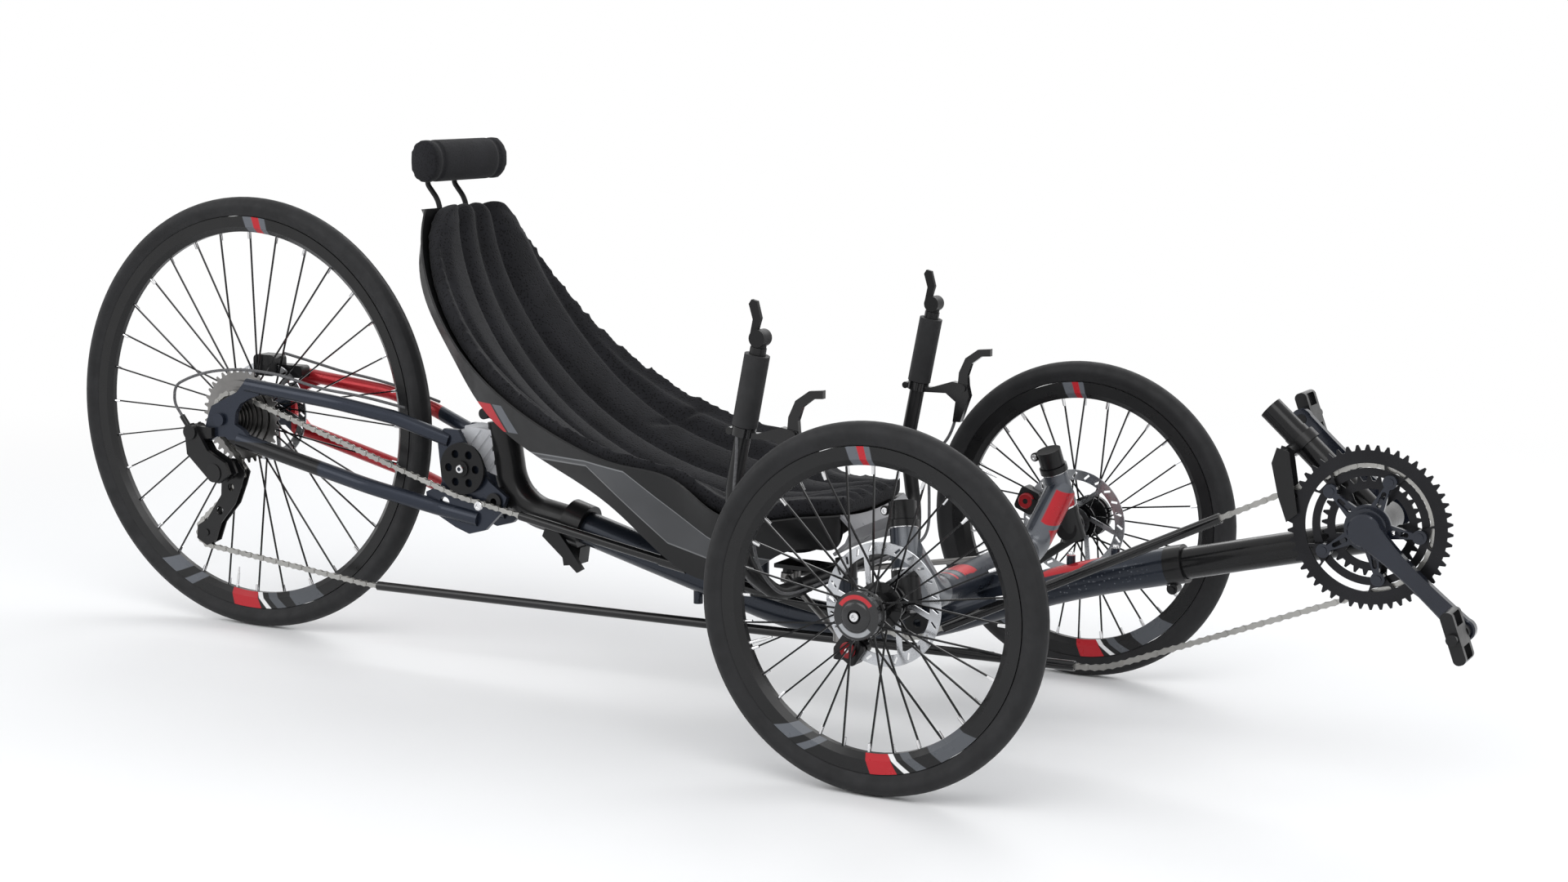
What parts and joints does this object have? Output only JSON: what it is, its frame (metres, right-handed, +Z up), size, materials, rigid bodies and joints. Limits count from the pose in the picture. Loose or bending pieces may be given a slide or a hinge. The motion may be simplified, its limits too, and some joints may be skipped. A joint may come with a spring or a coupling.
{
  "type": "recumbent trike",
  "caption": "Recumbent tadpole trike with steered front wheels, larger suspended rear wheel, moulded bucket seat and boom-mounted cranks",
  "frame": {"origin": "on the ground under the middle of the trike's length, on its centre plane", "axes": "+X is forward, +Y is the rider's left, +Z is up"},
  "size_m": [2.3128, 0.81, 0.795],
  "materials": {
    "frame_paint": "satin",
    "black_paint": "satin",
    "tyre": "matte",
    "rim": "satin anodised",
    "hub": "satin",
    "steel": "brushed",
    "black_alloy": "satin",
    "crank_alloy": "gloss",
    "plastic": "matte",
    "elastomer": "satin",
    "shell": "satin",
    "mesh_fabric": "mesh",
    "foam": "matte",
    "cable": "matte"
  },
  "bodies": {
    "frame": {"main_frame": "frame_paint", "boom": "frame_paint", "boom_collar": "black_paint", "rear_riser": "black_paint", "fold_clamp": "black_paint", "swingarm": "frame_paint", "shock": "elastomer", "idlers": "plastic", "chain": "steel", "chain_tubes": "plastic", "rear_derailleur": "black_alloy", "jockey_wheels": "plastic", "seat_shell": "shell", "seat_lip": "shell", "seat_cushion": "mesh_fabric", "headrest_pad": "mesh_fabric", "headrest_frame": "black_paint", "front_derailleur": "black_alloy", "rear_caliper": "black_alloy", "cables": "cable"},
    "rear_wheel": {"rear_tyre": "tyre", "rear_rim": "rim", "rear_hub": "hub", "cassette": "steel", "rear_disc": "steel"},
    "crank": {"crankset": "crank_alloy", "chainrings": "black_alloy"},
    "steering_bar": {"handlebar": "black_paint", "grips": "foam", "brake_levers": "black_alloy", "shifters": "black_alloy"},
    "steered_right": {"knuckle_right": "black_paint", "caliper_right": "black_alloy"},
    "front_wheel_right": {"front_tyre_right": "tyre", "front_rim_right": "rim", "front_hub_right": "hub", "front_disc_right": "steel"},
    "tie_rod_right": {"tie_rod_right": "steel"},
    "pedal_right": {"pedal_right": "crank_alloy"},
    "steered_left": {"knuckle_left": "black_paint", "caliper_left": "black_alloy"},
    "front_wheel_left": {"front_tyre_left": "tyre", "front_rim_left": "rim", "front_hub_left": "hub", "front_disc_left": "steel"},
    "tie_rod_left": {"tie_rod_left": "steel"},
    "pedal_left": {"pedal_left": "crank_alloy"}
  },
  "joints": [
    {"name": "steering", "type": "hinge", "parent": "frame", "child": "steering_bar", "pos_m": [0.25455, 0, 0.204], "axis": [0, 0, 1], "range_deg": [-28, 28]},
    {"name": "kingpin_right", "type": "hinge", "parent": "frame", "child": "steered_right", "pos_m": [0.46955, -0.264, 0.299], "axis": [-0.2002, 0.2701, 0.9418], "range_deg": [-28, 28]},
    {"name": "tie_rod_right_pivot", "type": "hinge", "parent": "steering_bar", "child": "tie_rod_right", "pos_m": [0.16655, -0.012, 0.185], "axis": [0.0734, 0.0085, 0.9973], "range_deg": [-28, 28]},
    {"name": "front_wheel_right_spin", "type": "hinge", "parent": "steered_right", "child": "front_wheel_right", "pos_m": [0.46955, -0.36, 0.238], "axis": [0, 1, 0], "continuous": true},
    {"name": "kingpin_left", "type": "hinge", "parent": "frame", "child": "steered_left", "pos_m": [0.46955, 0.264, 0.299], "axis": [-0.2002, -0.2701, 0.9418], "range_deg": [-28, 28]},
    {"name": "tie_rod_left_pivot", "type": "hinge", "parent": "steering_bar", "child": "tie_rod_left", "pos_m": [0.16655, 0.012, 0.185], "axis": [0.0734, -0.0085, 0.9973], "range_deg": [-28, 28]},
    {"name": "front_wheel_left_spin", "type": "hinge", "parent": "steered_left", "child": "front_wheel_left", "pos_m": [0.46955, 0.36, 0.238], "axis": [0, 1, 0], "continuous": true},
    {"name": "rear_wheel_spin", "type": "hinge", "parent": "frame", "child": "rear_wheel", "pos_m": [-0.81045, 0, 0.346], "axis": [0, 1, 0], "continuous": true},
    {"name": "crank_spin", "type": "hinge", "parent": "frame", "child": "crank", "pos_m": [1.01055, 0, 0.345], "axis": [0, 1, 0], "continuous": true},
    {"name": "pedal_right_spin", "type": "hinge", "parent": "crank", "child": "pedal_right", "pos_m": [1.13962, -0.118, 0.23437], "axis": [0, 1, 0], "continuous": true},
    {"name": "pedal_left_spin", "type": "hinge", "parent": "crank", "child": "pedal_left", "pos_m": [0.88147, 0.118, 0.45563], "axis": [0, 1, 0], "continuous": true}
  ],
  "couplings": [
    {"joint": "kingpin_right", "follows": "steering", "ratio": 1},
    {"joint": "tie_rod_right_pivot", "follows": "steering", "ratio": -1},
    {"joint": "kingpin_left", "follows": "steering", "ratio": 1},
    {"joint": "tie_rod_left_pivot", "follows": "steering", "ratio": -1}
  ]
}
